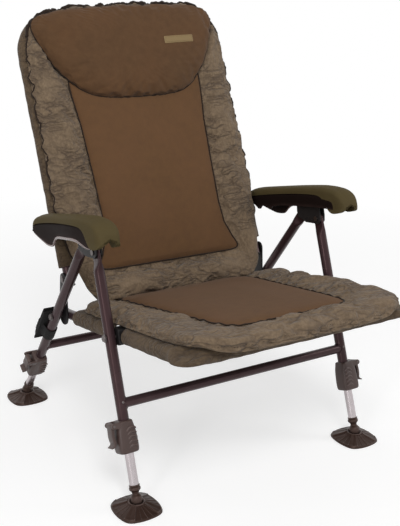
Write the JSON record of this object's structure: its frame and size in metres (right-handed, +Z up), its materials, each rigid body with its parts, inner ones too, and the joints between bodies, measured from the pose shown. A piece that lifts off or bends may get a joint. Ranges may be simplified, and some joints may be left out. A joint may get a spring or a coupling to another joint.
{
  "type": "carp fishing chair",
  "caption": "Folding angler's chair with padded seat, reclining padded back, headrest, armrests and telescopic legs on pivoting mud feet.",
  "frame": {"origin": "on the ground, under the middle of the whole chair", "axes": "+X across the chair, to the right as seen from in front; the sitter faces -Y; +Z up. Left and right in the names are as seen from in front"},
  "size_m": [0.6554, 0.8064, 0.9388],
  "materials": {
    "frame_paint": "satin dark brown metallic paint",
    "bare_metal": "brushed",
    "bolt_steel": "plated",
    "lock_plastic": "satin moulded",
    "black_plastic": "matt moulded",
    "shell_plastic": "semi-gloss moulded",
    "olive_cover": "soft padded cover",
    "brown_fleece": "brushed pile",
    "mottled_cloth": "mottled woven cloth",
    "sling_cloth": "woven cloth",
    "webbing": "woven webbing"
  },
  "bodies": {
    "front_leg_frame": {"front_leg_left": "frame_paint", "front_leg_right": "frame_paint", "front_cross_bar": "frame_paint", "front_lock_body_left": "lock_plastic", "front_lock_body_right": "lock_plastic", "seat_pivot_bolt_left": "bolt_steel", "seat_pivot_bolt_right": "bolt_steel", "arm_pivot_bolt_left": "bolt_steel", "arm_pivot_bolt_right": "bolt_steel"},
    "rear_leg_frame": {"rear_leg_left": "frame_paint", "rear_leg_right": "frame_paint", "rear_cross_bar": "frame_paint", "rear_lock_body_left": "lock_plastic", "rear_lock_body_right": "lock_plastic", "rear_leg_rivet_left": "bolt_steel", "rear_leg_rivet_right": "bolt_steel", "seat_hook_bolt_left": "bolt_steel", "seat_hook_bolt_right": "bolt_steel", "transport_strap": "webbing"},
    "seat_frame": {"seat_frame_tube": "frame_paint", "seat_sling": "sling_cloth", "seat_mattress": "brown_fleece", "hinge_plate_left": "black_plastic", "hinge_plate_right": "black_plastic", "seat_pivot_saddle_left": "black_plastic", "seat_pivot_saddle_right": "black_plastic"},
    "back_frame": {"back_frame_tube": "frame_paint", "back_sling": "sling_cloth", "back_mattress": "brown_fleece", "mattress_bridge_roll": "mottled_cloth", "headrest_pillow": "brown_fleece", "back_hinge_bolt_left": "bolt_steel", "back_hinge_bolt_right": "bolt_steel", "notch_pin_left": "bolt_steel", "notch_pin_right": "bolt_steel"},
    "armrest_left": {"armrest_shell_left": "shell_plastic", "armrest_cover_left": "olive_cover", "armrest_bracket_left": "black_plastic"},
    "armrest_right": {"armrest_shell_right": "shell_plastic", "armrest_cover_right": "olive_cover", "armrest_bracket_right": "black_plastic"},
    "front_leg_extension_left": {"front_inner_leg_left": "bare_metal", "front_ball_stud_left": "lock_plastic"},
    "front_foot_left": {"front_mud_foot_left": "lock_plastic"},
    "front_lever_left": {"front_lock_lever_left": "lock_plastic"},
    "front_leg_extension_right": {"front_inner_leg_right": "bare_metal", "front_ball_stud_right": "lock_plastic"},
    "front_foot_right": {"front_mud_foot_right": "lock_plastic"},
    "front_lever_right": {"front_lock_lever_right": "lock_plastic"},
    "rear_leg_extension_left": {"rear_inner_leg_left": "bare_metal", "rear_ball_stud_left": "lock_plastic"},
    "rear_foot_left": {"rear_mud_foot_left": "lock_plastic"},
    "rear_lever_left": {"rear_lock_lever_left": "lock_plastic"},
    "rear_leg_extension_right": {"rear_inner_leg_right": "bare_metal", "rear_ball_stud_right": "lock_plastic"},
    "rear_foot_right": {"rear_mud_foot_right": "lock_plastic"},
    "rear_lever_right": {"rear_lock_lever_right": "lock_plastic"}
  },
  "joints": [
    {"name": "seat_fold", "type": "hinge", "parent": "front_leg_frame", "child": "seat_frame", "pos_m": [0, -0.11425, 0.31919], "axis": [1, 0, 0], "range_deg": [0, 60]},
    {"name": "rear_leg_fold", "type": "hinge", "parent": "front_leg_frame", "child": "rear_leg_frame", "pos_m": [0, -0.00245, 0.478], "axis": [-1, 0, 0], "range_deg": [0, 48]},
    {"name": "back_fold", "type": "hinge", "parent": "seat_frame", "child": "back_frame", "pos_m": [0, 0.14182, 0.36118], "axis": [1, 0, 0], "range_deg": [0, 95], "deforming": ["mattress_bridge_roll"]},
    {"name": "armrest_lift_left", "type": "hinge", "parent": "front_leg_frame", "child": "armrest_left", "pos_m": [-0.281, -0.05645, 0.478], "axis": [1, 0, 0], "range_deg": [0, 80]},
    {"name": "armrest_lift_right", "type": "hinge", "parent": "front_leg_frame", "child": "armrest_right", "pos_m": [0.281, -0.05645, 0.478], "axis": [1, 0, 0], "range_deg": [0, 80]},
    {"name": "front_leg_slide_left", "type": "slide", "parent": "front_leg_frame", "child": "front_leg_extension_left", "axis": [0, -0.342, -0.9397], "range_m": [-0.05, 0.08]},
    {"name": "front_foot_tilt_left", "type": "hinge", "parent": "front_leg_extension_left", "child": "front_foot_left", "pos_m": [-0.281, -0.22242, 0.022], "axis": [1, 0, 0], "range_deg": [-20, 20]},
    {"name": "front_lever_open_left", "type": "hinge", "parent": "front_leg_frame", "child": "front_lever_left", "pos_m": [-0.31, -0.17146, 0.16201], "axis": [0, 0.9397, -0.342], "range_deg": [0, 90]},
    {"name": "front_leg_slide_right", "type": "slide", "parent": "front_leg_frame", "child": "front_leg_extension_right", "axis": [0, -0.342, -0.9397], "range_m": [-0.05, 0.08]},
    {"name": "front_foot_tilt_right", "type": "hinge", "parent": "front_leg_extension_right", "child": "front_foot_right", "pos_m": [0.281, -0.22242, 0.022], "axis": [1, 0, 0], "range_deg": [-20, 20]},
    {"name": "front_lever_open_right", "type": "hinge", "parent": "front_leg_frame", "child": "front_lever_right", "pos_m": [0.31, -0.17146, 0.16201], "axis": [0, -0.9397, 0.342], "range_deg": [0, 90]},
    {"name": "rear_leg_slide_left", "type": "slide", "parent": "rear_leg_frame", "child": "rear_leg_extension_left", "axis": [0, 0.599, -0.8007], "range_m": [-0.05, 0.08]},
    {"name": "rear_foot_tilt_left", "type": "hinge", "parent": "rear_leg_extension_left", "child": "rear_foot_left", "pos_m": [-0.281, 0.33868, 0.022], "axis": [1, 0, 0], "range_deg": [-20, 20]},
    {"name": "rear_lever_open_left", "type": "hinge", "parent": "rear_leg_frame", "child": "rear_lever_left", "pos_m": [-0.31, 0.24823, 0.14291], "axis": [0, 0.8007, 0.599], "range_deg": [0, 90]},
    {"name": "rear_leg_slide_right", "type": "slide", "parent": "rear_leg_frame", "child": "rear_leg_extension_right", "axis": [0, 0.599, -0.8007], "range_m": [-0.05, 0.08]},
    {"name": "rear_foot_tilt_right", "type": "hinge", "parent": "rear_leg_extension_right", "child": "rear_foot_right", "pos_m": [0.281, 0.33868, 0.022], "axis": [1, 0, 0], "range_deg": [-20, 20]},
    {"name": "rear_lever_open_right", "type": "hinge", "parent": "rear_leg_frame", "child": "rear_lever_right", "pos_m": [0.31, 0.24823, 0.14291], "axis": [0, -0.8007, -0.599], "range_deg": [0, 90]}
  ],
  "couplings": [
    {"joint": "rear_leg_fold", "follows": "seat_fold", "ratio": 0.8}
  ]
}
